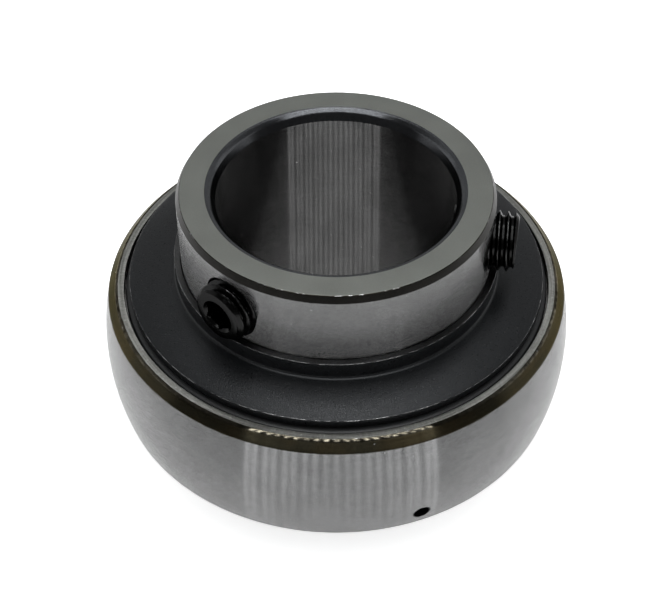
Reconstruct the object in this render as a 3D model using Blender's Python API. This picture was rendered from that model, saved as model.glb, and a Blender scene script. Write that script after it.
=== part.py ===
"""Insert bearing with a wide inner ring and two set screws.

The bearing stands on the short end of its inner ring, with the set-screw end up.
Z is the shaft axis and z = 0 is the short end. Turned pieces are drawn as half
sections measured from the ball plane and spun round Z. The cage halves are pressed
ribbons whose two faces follow spheres round the balls.
"""

import math

import bmesh
import bpy
from mathutils import Matrix, Vector

MM = 0.001

# Rings: each wall is measured between its raceway and the bore or the outside
BORE_D = 25.4 * MM
INNER_WALL = 2.531 * MM
OUTER_WALL = 2.531 * MM
SHORT_SIDE = 14.3 * MM
BORE_CHAMFER = 1.15 * MM
END_CHAMFER_RADIAL = 0.4 * MM
END_CHAMFER_AXIAL = 0.7 * MM
OUTER_ROUND_RADIAL = 0.55 * MM
OUTER_ROUND_AXIAL = 1.03 * MM
FACE_WALL = 2.66 * MM

# Balls and raceways: groove radius and shoulder heights as shares of the ball's diameter
BALL_COUNT = 9
BALL_D = 7.938 * MM
RACE_PLAY = 0.15 * MM
GROOVE_SHARE = 0.52
INNER_SHOULDER_SHARE = 0.204
OUTER_SHOULDER_SHARE = 0.195

# Seal seat in the outer ring
SEAT_GROOVE = 0.41 * MM
SEAT_UNDER_GAP = 0.25 * MM
SEAT_OVER_GAP = 0.1 * MM

# Pressed cage and its rivets
SHEET = 0.6 * MM
POCKET_GAP = 0.2 * MM
CAGE_SPLIT = 0.3 * MM
CAGE_GAP_IN = 0.9 * MM
CAGE_GAP_OUT = 0.65 * MM
RIVET_D = 1.3 * MM
RIVET_HOLE_GAP = 0.2 * MM
RIVET_HEAD_R = 1.15 * MM
RIVET_HEAD_H = 0.45 * MM
RIVET_SEAT_GAP = 0.2 * MM

# Seals: a pressed steel core under a moulded rubber ring
SEAL_INSET = 0.2 * MM
RUBBER_WALL = 0.85 * MM
CORE_WALL = 0.45 * MM
CORE_FLANGE = 0.5 * MM
SEAL_GAP = 0.3 * MM
LIP_GAP = 0.25 * MM
LIP_DROP = 0.55 * MM
LIP_REACH = 1.2 * MM
BEAD_ROUND = 0.3 * MM
CAGE_SEAL_GAP = 0.431 * MM

# Slingers on the inner ring
SLINGER_SHEET = 0.5 * MM
SLINGER_FIT = 0.25 * MM
RIM_RISE = 1.0 * MM
RIM_LIP = 0.85 * MM
RIM_SET_BACK = 0.69 * MM
DISH_RISE = 0.8 * MM
COLLAR_HEIGHT = 2.0 * MM
BEND_R = 0.4 * MM

# Set screws
SCREW_D = 6.35 * MM
SCREW_LENGTH = 5.56 * MM
SCREW_HOLE_GAP = 0.25 * MM
SCREW_LAND = 0.325 * MM
SCREW_FROM_END = 5.0 * MM
SCREW_END_CHAMFER = 0.75 * MM
SCREW_POINT_R = 1.6 * MM
SCREW_CUP_DEPTH = 0.5 * MM
SOCKET_FLATS = 3.175 * MM
SOCKET_DEPTH = 2.6 * MM
SCREW_STAND_OUT = {"set_screw_a": 2.5 * MM, "set_screw_b": 1.75 * MM}
SCREW_ANGLE = {"set_screw_a": 0.0, "set_screw_b": -120.0}

# Lubrication hole
OIL_HOLE_D = 1.8 * MM
OIL_HOLE_DROP = 4.5 * MM
OIL_HOLE_ANGLE = -59.8

# Facets
RING_STEPS = 48
SHEET_STEPS = 36
SPHERE_ARC_STEPS = 4
RACE_ARC_STEPS = 6
POCKET_STEPS = 5
SCREW_STEPS = 20
BALL_STEPS = 16
SMOOTH_ANGLE = math.radians(35)

# Derived places, all radii from the shaft axis and heights from the ball plane
# The outside diameter, 52 mm, is the stack of bore, walls, plays and ball.
BORE_R = BORE_D / 2
BALL_R = BALL_D / 2
GROOVE_R = GROOVE_SHARE * BALL_D
INNER_RACE_R = BORE_R + INNER_WALL
PITCH_R = INNER_RACE_R + RACE_PLAY + BALL_R
OUTER_RACE_R = PITCH_R + BALL_R + RACE_PLAY
OUTER_R = OUTER_RACE_R + OUTER_WALL
RING_R = INNER_RACE_R + INNER_SHOULDER_SHARE * BALL_D
SHOULDER_R = OUTER_RACE_R - OUTER_SHOULDER_SHARE * BALL_D
SEAT_R = OUTER_R - FACE_WALL
BALL_PLANE = SHORT_SIDE
BALL_PITCH = 2 * math.pi / BALL_COUNT

CAGE_IN_R = RING_R + CAGE_GAP_IN
CAGE_OUT_R = SHOULDER_R - CAGE_GAP_OUT
RIVET_CIRCLE_R = (CAGE_IN_R + CAGE_OUT_R) / 2
CAGE_TOP = CAGE_SPLIT / 2 + SHEET
POCKET_TOP = BALL_R + POCKET_GAP + SHEET

# The outer ring is as wide as it has to be, 15 mm, to hold the cage and both seals.
CORE_UNDER = POCKET_TOP + CAGE_SEAL_GAP + CORE_FLANGE
CORE_TOP = CORE_UNDER + CORE_WALL
RUBBER_UNDER = CORE_TOP + SEAL_GAP
RUBBER_TOP = RUBBER_UNDER + RUBBER_WALL
FACE_Z = RUBBER_TOP + SEAL_INSET

RIM_TOP = FACE_Z + RIM_RISE
RIM_R = SEAT_R - RIM_SET_BACK
DISH_TOP = RIM_TOP + DISH_RISE
COLLAR_IN_R = RING_R + SLINGER_FIT
COLLAR_R = COLLAR_IN_R + SLINGER_SHEET
COLLAR_TOP = DISH_TOP + COLLAR_HEIGHT

SCREW_R = SCREW_D / 2
SCREW_Z = COLLAR_TOP + SCREW_LAND + SCREW_R
LONG_SIDE = SCREW_Z + SCREW_FROM_END


def clear_scene():
    """Start from an empty scene."""
    for thing in list(bpy.data.objects):
        bpy.data.objects.remove(thing, do_unlink=True)


def make_material(name, colour, metallic, roughness):
    """One Principled material with a plain finish."""
    material = bpy.data.materials.new(name)
    material.use_nodes = True
    shader = material.node_tree.nodes["Principled BSDF"]
    shader.inputs["Base Color"].default_value = (*colour, 1.0)
    shader.inputs["Metallic"].default_value = metallic
    shader.inputs["Roughness"].default_value = roughness
    return material


def add_object(name, shape, material, parent=None):
    """Turn a bmesh into an object with outward faces and smooth round sides."""
    bmesh.ops.recalc_face_normals(shape, faces=shape.faces)
    mesh = bpy.data.meshes.new(name)
    shape.to_mesh(mesh)
    shape.free()
    mesh.shade_smooth()
    mesh.set_sharp_from_angle(angle=SMOOTH_ANGLE)
    mesh.materials.append(material)
    thing = bpy.data.objects.new(name, mesh)
    thing.parent = parent
    bpy.context.scene.collection.objects.link(thing)
    return thing


def add_axis(name):
    """An empty on the shaft axis that carries the pieces turning together."""
    axis = bpy.data.objects.new(name, None)
    axis.empty_display_size = OUTER_R
    axis.location.z = BALL_PLANE
    bpy.context.scene.collection.objects.link(axis)
    return axis


def spun(section, steps, closed=True):
    """Spin a half section of (radius, height) points round Z."""
    shape = bmesh.new()
    points = [shape.verts.new((radius, 0.0, height)) for radius, height in section]
    pairs = list(zip(points, points[1:]))
    if closed:
        pairs.append((points[-1], points[0]))
    edges = [shape.edges.new(pair) for pair in pairs]
    bmesh.ops.spin(
        shape, geom=points + edges, cent=(0, 0, 0), axis=(0, 0, 1),
        angle=2 * math.pi, steps=steps, use_merge=True,
    )
    bmesh.ops.remove_doubles(shape, verts=shape.verts, dist=0.001 * MM)
    return shape


def arc(centre, radius, start, end, steps):
    """Points on an arc round (radius, height), both ends included, angles in radians."""
    points = []
    for step in range(steps + 1):
        angle = start + (end - start) * step / steps
        points.append((centre[0] + radius * math.cos(angle), centre[1] + radius * math.sin(angle)))
    return points


def flipped(section):
    """The same half section on the lower side of the ball plane."""
    return [(radius, -height) for radius, height in section]


def cut(target, cutter):
    """Take the cutter out of the target and keep the cutter out of the model."""
    cutter.hide_render = True
    cutter.display_type = "WIRE"
    modifier = target.modifiers.new("cut " + cutter.name, "BOOLEAN")
    modifier.operation = "DIFFERENCE"
    modifier.solver = "EXACT"
    modifier.object = cutter


def add_drill(name, diameter, length, steps, place, direction, material):
    """A round cutter that starts at a place and runs along a direction."""
    shape = bmesh.new()
    bmesh.ops.create_cone(
        shape, cap_ends=True, segments=steps, radius1=diameter / 2, radius2=diameter / 2,
        depth=length, matrix=Matrix.Translation((0, 0, length / 2)),
    )
    drill = add_object(name, shape, material)
    drill.location = place
    drill.rotation_mode = "QUATERNION"
    drill.rotation_quaternion = Vector(direction).to_track_quat("Z", "Y")
    return drill


def polar(radius, degrees, height):
    """A point at an angle round the shaft axis, its height above the short end."""
    angle = math.radians(degrees)
    return Vector((radius * math.cos(angle), radius * math.sin(angle), height))


def inner_ring_section():
    """Ground ring with a raceway; it runs further up, to hold the set screws."""
    groove_centre = (INNER_RACE_R + GROOVE_R, 0.0)
    half_angle = math.acos((groove_centre[0] - RING_R) / GROOVE_R)
    race = arc(groove_centre, GROOVE_R, math.pi - half_angle, math.pi + half_angle, RACE_ARC_STEPS)
    return [
        (BORE_R + BORE_CHAMFER, LONG_SIDE),
        (RING_R - END_CHAMFER_RADIAL, LONG_SIDE),
        (RING_R, LONG_SIDE - END_CHAMFER_AXIAL),
        *race,
        (RING_R, END_CHAMFER_AXIAL - SHORT_SIDE),
        (RING_R - END_CHAMFER_RADIAL, -SHORT_SIDE),
        (BORE_R + BORE_CHAMFER, -SHORT_SIDE),
        (BORE_R, BORE_CHAMFER - SHORT_SIDE),
        (BORE_R, LONG_SIDE - BORE_CHAMFER),
    ]


def outer_ring_section():
    """Ring with a spherical outside, rounded unground edges, seal seats and a raceway."""
    edge_z = FACE_Z - OUTER_ROUND_AXIAL
    edge_angle = math.asin(edge_z / OUTER_R)
    edge_r = OUTER_R * math.cos(edge_angle)
    face_r = math.sqrt(OUTER_R ** 2 - FACE_Z ** 2) - OUTER_ROUND_RADIAL
    knee = (face_r + 0.66 * (edge_r - face_r), FACE_Z - 0.3 * OUTER_ROUND_AXIAL)
    sphere = arc((0.0, 0.0), OUTER_R, edge_angle, -edge_angle, SPHERE_ARC_STEPS)
    groove_centre = (OUTER_RACE_R - GROOVE_R, 0.0)
    half_angle = math.acos((SHOULDER_R - groove_centre[0]) / GROOVE_R)
    race = arc(groove_centre, GROOVE_R, -half_angle, half_angle, RACE_ARC_STEPS)
    floor_z = CORE_UNDER - SEAT_UNDER_GAP
    lip_z = CORE_TOP + SEAT_OVER_GAP
    seat = [
        (SHOULDER_R, floor_z),
        (SEAT_R + SEAT_GROOVE, floor_z),
        (SEAT_R + SEAT_GROOVE, lip_z),
        (SEAT_R, lip_z + SEAT_GROOVE),
        (SEAT_R, FACE_Z),
    ]
    rounded = [(face_r, FACE_Z), knee]
    return [*rounded, *sphere, *flipped(rounded)[::-1], *flipped(seat)[::-1], *race, *seat]


def rubber_section():
    """Moulded ring: a rounded bead in the seat, a flat web and a lip on the inner ring."""
    bead_r = SEAT_R - SEAL_GAP
    lip_r = RING_R + LIP_GAP
    root_r = lip_r + LIP_REACH
    return [
        (root_r, RUBBER_TOP),
        (bead_r - BEAD_ROUND, RUBBER_TOP),
        (bead_r - 0.3 * BEAD_ROUND, RUBBER_TOP - 0.3 * BEAD_ROUND),
        (bead_r, RUBBER_TOP - BEAD_ROUND),
        (bead_r, RUBBER_UNDER),
        (root_r, RUBBER_UNDER),
        (lip_r + 0.35 * LIP_REACH, RUBBER_UNDER - LIP_DROP),
        (lip_r, RUBBER_UNDER - LIP_DROP),
        (lip_r, RUBBER_UNDER - 0.5 * LIP_DROP),
        (lip_r + 0.4 * LIP_REACH, RUBBER_TOP - 0.6 * RUBBER_WALL),
    ]


def core_section():
    """Pressed steel washer snapped into the seat groove, its inner edge turned inwards."""
    rim_r = SEAT_R + SEAT_GROOVE - SEAL_GAP
    hole_r = RING_R + LIP_GAP + LIP_REACH + 2 * SEAL_GAP
    return [
        (hole_r, CORE_TOP),
        (rim_r, CORE_TOP),
        (rim_r, CORE_UNDER),
        (hole_r + CORE_WALL, CORE_UNDER),
        (hole_r + CORE_WALL, CORE_UNDER - CORE_FLANGE),
        (hole_r, CORE_UNDER - CORE_FLANGE),
    ]


def slinger_section():
    """Pressed flinger: a collar round the inner ring, a dished plate and a rim lip."""
    bend_r = COLLAR_R + BEND_R

    def dish(radius, drop):
        share = (radius - bend_r) / (RIM_R - bend_r)
        return (radius, RIM_TOP + DISH_RISE * (1 - max(share, 0.0) ** 1.6) - drop)

    plate = [bend_r + (RIM_R - bend_r) * share for share in (0.0, 0.35, 0.7, 0.94)]
    rim_in_r = RIM_R - SLINGER_SHEET
    return [
        (COLLAR_IN_R, COLLAR_TOP),
        (COLLAR_R, COLLAR_TOP),
        (COLLAR_R, DISH_TOP + BEND_R),
        (COLLAR_R + 0.3 * BEND_R, DISH_TOP + 0.3 * BEND_R),
        *[dish(radius, 0.0) for radius in plate],
        (RIM_R, RIM_TOP - 0.35 * SLINGER_SHEET),
        (RIM_R, RIM_TOP - RIM_LIP),
        (rim_in_r, RIM_TOP - RIM_LIP),
        *[dish(radius, SLINGER_SHEET) for radius in (rim_in_r, plate[2], plate[1])],
        (COLLAR_IN_R + BEND_R, DISH_TOP - SLINGER_SHEET),
        (COLLAR_IN_R, DISH_TOP - SLINGER_SHEET + BEND_R),
    ]


def cage_face(radius, sphere_r, land_z):
    """Angles and heights across one pocket, where a face leaves its flat land.

    A point of the face at an angle from the ball's own is as high as a sphere of
    sphere_r round the ball. It ends where that sphere comes down to land_z.
    """
    reach = sphere_r ** 2 - land_z ** 2
    end = math.acos((radius ** 2 + PITCH_R ** 2 - reach) / (2 * radius * PITCH_R))
    points = []
    for step in range(-POCKET_STEPS, POCKET_STEPS + 1):
        angle = end * math.sin(0.5 * math.pi * step / POCKET_STEPS)
        plan = radius ** 2 + PITCH_R ** 2 - 2 * radius * PITCH_R * math.cos(angle)
        points.append((angle, math.sqrt(sphere_r ** 2 - plan)))
    return points


def cage_half_shape(side):
    """Ribbon with a cup over each ball and flat lands between; side is 1 up or -1 down."""
    shape = bmesh.new()
    ball_face_r = BALL_R + POCKET_GAP
    rows = []
    for radius in (CAGE_IN_R, RIVET_CIRCLE_R, CAGE_OUT_R):
        for sphere_r, land_z in ((ball_face_r, CAGE_SPLIT / 2), (ball_face_r + SHEET, CAGE_TOP)):
            across = cage_face(radius, sphere_r, land_z)
            row = []
            for ball in range(BALL_COUNT):
                for angle, height in across:
                    turn = ball * BALL_PITCH + angle
                    place = (radius * math.cos(turn), radius * math.sin(turn), side * height)
                    row.append(shape.verts.new(place))
            rows.append(row)
    count = len(rows[0])
    # Rows in order round the ribbon's own section: under side out, top side back in.
    order = (0, 2, 4, 5, 3, 1)
    for here, there in zip(order, order[1:] + order[:1]):
        for column in range(count):
            after = (column + 1) % count
            shape.faces.new((
                rows[here][column], rows[here][after], rows[there][after], rows[there][column],
            ))
    return shape


def rivet_section():
    """Shank with a low domed head at each end, from the top of the axis down."""
    head_under = CAGE_TOP + RIVET_SEAT_GAP
    head_top = head_under + RIVET_HEAD_H
    upper = [
        (0.0, head_top),
        (0.7 * RIVET_HEAD_R, head_top - 0.25 * RIVET_HEAD_H),
        (RIVET_HEAD_R, head_under),
        (RIVET_D / 2, head_under),
    ]
    return [*upper, *flipped(upper)[::-1]]


def screw_section():
    """Cup-point set screw along its own Z, outer end at z = 0."""
    point_z = -SCREW_LENGTH + (SCREW_R - SCREW_POINT_R)
    return [
        (0.0, 0.0),
        (SCREW_R - SCREW_END_CHAMFER, 0.0),
        (SCREW_R, -SCREW_END_CHAMFER),
        (SCREW_R, point_z),
        (SCREW_POINT_R, -SCREW_LENGTH),
        (0.0, SCREW_CUP_DEPTH - SCREW_LENGTH),
    ]


def build_inner_ring(steel):
    """The ring, with a clearance hole along each set screw's axis."""
    ring = add_object("inner_ring", spun(inner_ring_section(), RING_STEPS), steel)
    ring.location.z = BALL_PLANE
    for name, degrees in SCREW_ANGLE.items():
        start = BORE_R / 2
        drill = add_drill(
            name + "_hole", SCREW_D + 2 * SCREW_HOLE_GAP, OUTER_R - start, SCREW_STEPS,
            polar(start, degrees, BALL_PLANE + SCREW_Z), polar(1.0, degrees, 0.0), steel,
        )
        cut(ring, drill)


def build_outer_ring(steel, axis):
    """The ring, with its radial lubrication hole below the ball plane."""
    ring = add_object("outer_ring", spun(outer_ring_section(), RING_STEPS), steel, axis)
    start = PITCH_R
    drill = add_drill(
        "oil_hole", OIL_HOLE_D, OUTER_R * 1.1 - start, SCREW_STEPS // 2,
        polar(start, OIL_HOLE_ANGLE, BALL_PLANE - OIL_HOLE_DROP),
        polar(1.0, OIL_HOLE_ANGLE, 0.0), steel,
    )
    cut(ring, drill)


def build_seals(rubber, pressed, axis):
    """A core and a rubber ring on each side, which turn with the outer ring."""
    for side, section_side in (("upper", list), ("lower", flipped)):
        rubber_shape = spun(section_side(rubber_section()), SHEET_STEPS)
        core_shape = spun(section_side(core_section()), SHEET_STEPS)
        add_object("seal_rubber_" + side, rubber_shape, rubber, axis)
        add_object("seal_core_" + side, core_shape, pressed, axis)


def build_slingers(black):
    """A flinger on each side, which stays with the inner ring."""
    for side, section_side in (("upper", list), ("lower", flipped)):
        shape = spun(section_side(slinger_section()), SHEET_STEPS)
        slinger = add_object("slinger_" + side, shape, black)
        slinger.location.z = BALL_PLANE


def build_cage(pressed, axis):
    """Two pressed halves riveted together between the balls."""
    shape = bmesh.new()
    for rivet in range(BALL_COUNT):
        place = Matrix.Rotation((rivet + 0.5) * BALL_PITCH, 4, "Z")
        place = place @ Matrix.Translation((RIVET_CIRCLE_R, 0, 0))
        bmesh.ops.create_cone(
            shape, cap_ends=True, segments=8, radius1=RIVET_D / 2 + RIVET_HOLE_GAP,
            radius2=RIVET_D / 2 + RIVET_HOLE_GAP, depth=BALL_R, matrix=place,
        )
    punch = add_object("rivet_holes", shape, pressed, axis)
    for name, side in (("cage_half_upper", 1), ("cage_half_lower", -1)):
        cut(add_object(name, cage_half_shape(side), pressed, axis), punch)
    for rivet in range(BALL_COUNT):
        shape = spun(rivet_section(), 8, closed=False)
        thing = add_object(f"cage_rivet_{rivet + 1}", shape, pressed, axis)
        turn = (rivet + 0.5) * BALL_PITCH
        thing.location = (RIVET_CIRCLE_R * math.cos(turn), RIVET_CIRCLE_R * math.sin(turn), 0.0)
        thing.rotation_euler.z = turn


def build_balls(polished, axis):
    """One ball to each pocket, carried round by the cage."""
    for ball in range(BALL_COUNT):
        shape = bmesh.new()
        bmesh.ops.create_uvsphere(
            shape, u_segments=BALL_STEPS, v_segments=BALL_STEPS // 2, radius=BALL_R,
        )
        thing = add_object(f"ball_{ball + 1}", shape, polished, axis)
        turn = ball * BALL_PITCH
        thing.location = (PITCH_R * math.cos(turn), PITCH_R * math.sin(turn), 0.0)


def build_set_screws(black):
    """Hex-socket screws on their radial axes, backed out of the inner ring."""
    for name, degrees in SCREW_ANGLE.items():
        outward = polar(1.0, degrees, 0.0).to_track_quat("Z", "Y")
        end = polar(RING_R + SCREW_STAND_OUT[name], degrees, BALL_PLANE + SCREW_Z)
        screw = add_object(name, spun(screw_section(), SCREW_STEPS, closed=False), black)
        shape = bmesh.new()
        corner_r = SOCKET_FLATS / 2 / math.cos(math.pi / 6)
        bmesh.ops.create_cone(
            shape, cap_ends=True, segments=6, radius1=corner_r, radius2=corner_r,
            depth=2 * SOCKET_DEPTH,
        )
        socket = add_object(name + "_socket", shape, black)
        for thing in (screw, socket):
            thing.rotation_mode = "QUATERNION"
            thing.rotation_quaternion = outward
            thing.location = end
        cut(screw, socket)


def main():
    clear_scene()
    ground_steel = make_material("ground bearing steel", (0.42, 0.42, 0.42), 1.0, 0.3)
    polished_steel = make_material("polished bearing steel", (0.6, 0.6, 0.6), 1.0, 0.1)
    pressed_steel = make_material("pressed strip steel", (0.45, 0.45, 0.44), 1.0, 0.35)
    black_slinger = make_material("black coated pressed steel", (0.03, 0.03, 0.033), 0.6, 0.35)
    black_oxide = make_material("black oxide steel", (0.02, 0.02, 0.022), 0.7, 0.4)
    rubber = make_material("black nitrile rubber", (0.025, 0.025, 0.027), 0.0, 0.5)
    outer_axis = add_axis("outer_axis")
    cage_axis = add_axis("cage_axis")
    build_inner_ring(ground_steel)
    build_outer_ring(ground_steel, outer_axis)
    build_seals(rubber, pressed_steel, outer_axis)
    build_slingers(black_slinger)
    build_cage(pressed_steel, cage_axis)
    build_balls(polished_steel, cage_axis)
    build_set_screws(black_oxide)


main()
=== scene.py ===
# %% [markdown]
# # An insert bearing, dressed in Blender
# The bearing stands on the short end of its inner ring. From the outside in it has an outer ring with a
# ground ball-shaped outside, a rubber seal, a black pressed flinger, and a long inner ring with two
# set screws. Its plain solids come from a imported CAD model. This lesson puts finely turned surfaces and
# real metal finishes in their place, without moving anything. Sizes are in millimetres, with heights
# taken from the plane of the balls, as a bearing maker would. The camera and the lamps stand in metres,
# Blender's own unit.

# %% Load the frame
import math

import bpy
import numpy as np
from mathutils import Matrix, Vector


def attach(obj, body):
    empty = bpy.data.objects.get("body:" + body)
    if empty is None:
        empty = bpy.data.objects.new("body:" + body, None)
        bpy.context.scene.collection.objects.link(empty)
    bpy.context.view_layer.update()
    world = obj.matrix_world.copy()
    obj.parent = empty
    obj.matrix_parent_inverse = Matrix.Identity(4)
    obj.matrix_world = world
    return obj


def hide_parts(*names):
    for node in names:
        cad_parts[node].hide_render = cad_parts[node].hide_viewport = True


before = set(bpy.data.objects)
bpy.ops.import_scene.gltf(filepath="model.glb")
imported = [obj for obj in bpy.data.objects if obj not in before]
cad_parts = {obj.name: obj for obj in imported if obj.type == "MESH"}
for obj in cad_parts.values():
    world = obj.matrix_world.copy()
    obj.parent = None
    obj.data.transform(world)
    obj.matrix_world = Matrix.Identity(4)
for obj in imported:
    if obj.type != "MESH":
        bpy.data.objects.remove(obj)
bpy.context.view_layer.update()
MM = 0.001
BALL_PLANE = 14.3

# %% [markdown]
# ## The camera
# The photograph was taken from 45 degrees above with a long lens. The camera's place was worked out from
# the rims of the rings: a circle seen at a slant is an ellipse, and its two axes tell the slant. A camera
# looks along its own minus Z, so the three columns of its matrix are right, up and backward.

# %% Camera
CAMERA_PLACE = (0.01977, -0.11412, 0.13129)
right = Vector((0.98521, 0.17132, -0.00304)).normalized()
nearly_backward = Vector((0.12384, -0.69971, 0.70362))
backward = (nearly_backward - right * nearly_backward.dot(right)).normalized()
upward = backward.cross(right)
camera_data = bpy.data.cameras.new("camera")
camera_data.lens, camera_data.sensor_width = 77.95, 36.0
camera = bpy.data.objects.new("camera", camera_data)
bpy.context.scene.collection.objects.link(camera)
turned = Matrix((right, upward, backward)).transposed().to_4x4()
camera.matrix_world = Matrix.Translation(CAMERA_PLACE) @ turned
bpy.context.scene.camera = camera
camera_turn = math.atan2(CAMERA_PLACE[1], CAMERA_PLACE[0])
print("camera stands at", round(math.degrees(camera_turn), 1), "degrees round the shaft axis")

# %% [markdown]
# ## Making a mesh from arrays
# Every new piece is a grid: rows along a profile, columns round an axis. Numpy works out all the points
# at once, and foreach_set hands them to Blender in one go. Cells that close up at a pole are made of
# points that lie on each other, so they are merged and the empty edges go.

# %% Grid to mesh
import bmesh


def grid_faces(rows, columns, close_rows):
    """Corner numbers of the four-sided faces of a grid that is closed along its columns.

    Face (i, j) joins points (i, j), (i, j + 1), (i + 1, j + 1) and (i + 1, j), where i + 1 comes
    back to 0 after the last row if close_rows is true.
    """
    i = np.arange(rows if close_rows else rows - 1)[:, None]
    j = np.arange(columns)[None, :]
    after_i, after_j = (i + 1) % rows, (j + 1) % columns
    corners = [i * columns + j, i * columns + after_j, after_i * columns + after_j, after_i * columns + j]
    return np.stack(np.broadcast_arrays(*corners), -1).reshape(-1, 4)


def mesh_of(name, points, faces, finishes, face_finish, sharp=None, marks=None):
    """A new object from points in millimetres above the short end, with one material per face.

    Edges bent by more than sharp degrees stay sharp, and marks are numbers kept at the points.
    """
    mesh = bpy.data.meshes.new(name)
    mesh.vertices.add(len(points))
    mesh.vertices.foreach_set("co", (points * MM).astype(np.float32).ravel())
    mesh.loops.add(faces.size)
    mesh.loops.foreach_set("vertex_index", faces.astype(np.int32).ravel())
    mesh.polygons.add(len(faces))
    mesh.polygons.foreach_set("loop_start", np.arange(0, faces.size, 4, dtype=np.int32))
    mesh.polygons.foreach_set("material_index", np.asarray(face_finish, dtype=np.int32))
    for label, values in (marks or {}).items():
        mesh.attributes.new(label, "FLOAT", "POINT").data.foreach_set("value", values.astype(np.float32))
    mesh.update(calc_edges=True)
    shape = bmesh.new()
    shape.from_mesh(mesh)
    bmesh.ops.remove_doubles(shape, verts=shape.verts, dist=1e-8)
    bmesh.ops.recalc_face_normals(shape, faces=shape.faces)
    shape.to_mesh(mesh)
    shape.free()
    for finish in finishes:
        mesh.materials.append(finish)
    mesh.shade_smooth()
    if sharp:
        mesh.set_sharp_from_angle(angle=math.radians(sharp))
    piece = bpy.data.objects.new(name, mesh)
    bpy.context.scene.collection.objects.link(piece)
    print(f"{name}: {len(mesh.polygons)} faces")
    return piece


# %% [markdown]
# ## Turned sections
# A lathe part is its half section, spun. Real corners are never sharp: they are broken, so each corner
# of a section gets a small arc. The arc touches both sides, and its centre lies on the line that halves
# the corner, at radius / sin(half the corner's angle) from it. Which finish a zone gets is asked by its
# place on the section, as a drawing does with its surface marks.

# %% Sections
ARC_STEPS, LONGEST_CUT, MOST_OF_SIDE, NEARLY_STRAIGHT = 7, 0.45, 0.45, 1.55


def broken(section):
    """Points of a closed half section of (radius, height, corner radius) with its corners rounded.

    An arc point is the weighted sum of the arc's first and last spokes, with the weights
    sin((1 - share) sweep) / sin(sweep) and sin(share sweep) / sin(sweep). An arc takes up no more
    than MOST_OF_SIDE of a side. A corner whose half angle is over NEARLY_STRAIGHT radians stays a
    point. Long sides are cut into lengths of at most LONGEST_CUT, so that shading stays true on them.
    """
    corners = np.array([entry[:2] for entry in section], dtype=float)
    points = []
    for number, here in enumerate(corners):
        corner = section[number][2]
        back = corners[number - 1] - here
        onward = corners[(number + 1) % len(corners)] - here
        back_length, onward_length = np.linalg.norm(back), np.linalg.norm(onward)
        back, onward = back / back_length, onward / onward_length
        half = 0.5 * math.acos(np.clip(back @ onward, -1, 1))
        if corner == 0 or half > NEARLY_STRAIGHT:
            points.append(here[None])
            continue
        reach = min(corner / math.tan(half), MOST_OF_SIDE * back_length, MOST_OF_SIDE * onward_length)
        radius = reach * math.tan(half)
        centre = here + (back + onward) / np.linalg.norm(back + onward) * radius / math.sin(half)
        first, last = here + back * reach - centre, here + onward * reach - centre
        share, sweep = np.linspace(0, 1, ARC_STEPS + 1)[:, None], math.pi - 2 * half
        bow = (np.sin((1 - share) * sweep) * first + np.sin(share * sweep) * last) / math.sin(sweep)
        points.append(centre + bow)
    points = np.concatenate(points)
    gaps = np.roll(points, -1, axis=0) - points
    cuts = np.maximum(1, np.ceil(np.linalg.norm(gaps, axis=1) / LONGEST_CUT)).astype(int)
    owner = np.repeat(np.arange(len(points)), cuts)
    step = np.arange(len(owner)) - np.repeat(np.cumsum(cuts) - cuts, cuts)
    return points[owner] + gaps[owner] * (step / cuts[owner])[:, None]


def turned_piece(name, section, finishes, zone, columns=288, lift=1.0):
    """Spin a half section: x = r cos(turn), y = r sin(turn), z = height.

    zone(r, z) takes the middles of the section's sides as arrays and returns each side's place in
    the list of finishes. A lift of -1 turns the section over, to below the ball plane.
    """
    profile = broken(section)
    middles = 0.5 * (profile + np.roll(profile, -1, axis=0))
    kinds = np.broadcast_to(zone(middles[:, 0], middles[:, 1]), len(profile))
    turn = np.linspace(0, 2 * math.pi, columns, endpoint=False)
    r, z = profile[:, :1], profile[:, 1:] * lift
    points = np.stack([r * np.cos(turn), r * np.sin(turn), z + BALL_PLANE + 0 * turn], -1).reshape(-1, 3)
    faces = grid_faces(len(profile), columns, close_rows=True)
    return mesh_of(name, points, faces, finishes, np.repeat(kinds, columns))


def arc_points(centre, radius, start, end, steps):
    """Section entries along an arc round (radius, height), angles in degrees."""
    angles = np.radians(np.linspace(start, end, steps + 1))
    return [(centre[0] + radius * math.cos(a), centre[1] + radius * math.sin(a), 0.0) for a in angles]


def flipped(section):
    """The same section below the ball plane, gone through the other way."""
    return [(r, -z, corner) for r, z, corner in section[::-1]]


# %% [markdown]
# ## Node helpers
# A material is a small graph. One call adds a node, sets its options, and fills its sockets with plain
# values or with links, so that a finish can be read like a recipe.

# %% Nodes
def put(tree, kind, sockets=None, **options):
    """Add a node; sockets maps a socket's name or number to a value or to another node's output."""
    node = tree.nodes.new(kind)
    for key, value in options.items():
        setattr(node, key, value)
    for key, value in (sockets or {}).items():
        if isinstance(value, bpy.types.NodeSocket):
            tree.links.new(value, node.inputs[key])
        else:
            node.inputs[key].default_value = value
    return node


def math_of(tree, operation, first, second=0.0):
    """One Math node's output."""
    return put(tree, "ShaderNodeMath", {0: first, 1: second}, operation=operation).outputs[0]


def vector_of(tree, operation, first, second=(0.0, 0.0, 0.0)):
    """One Vector Math node's output, which is a number for a length or a dot product."""
    node = put(tree, "ShaderNodeVectorMath", {0: first, 1: second}, operation=operation)
    return node.outputs["Value" if operation in ("LENGTH", "DOT_PRODUCT") else "Vector"]


def scaled(tree, vector, factor):
    """A vector or a colour times a number."""
    return put(tree, "ShaderNodeVectorMath", {0: vector, 3: factor}, operation="SCALE").outputs[0]


def ranged(tree, value, low, high, to_low=0.0, to_high=1.0):
    """Map Range: value from low..high to to_low..to_high, held at both ends."""
    return put(
        tree, "ShaderNodeMapRange", {0: value, 1: low, 2: high, 3: to_low, 4: to_high}, clamp=True
    ).outputs[0]


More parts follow.
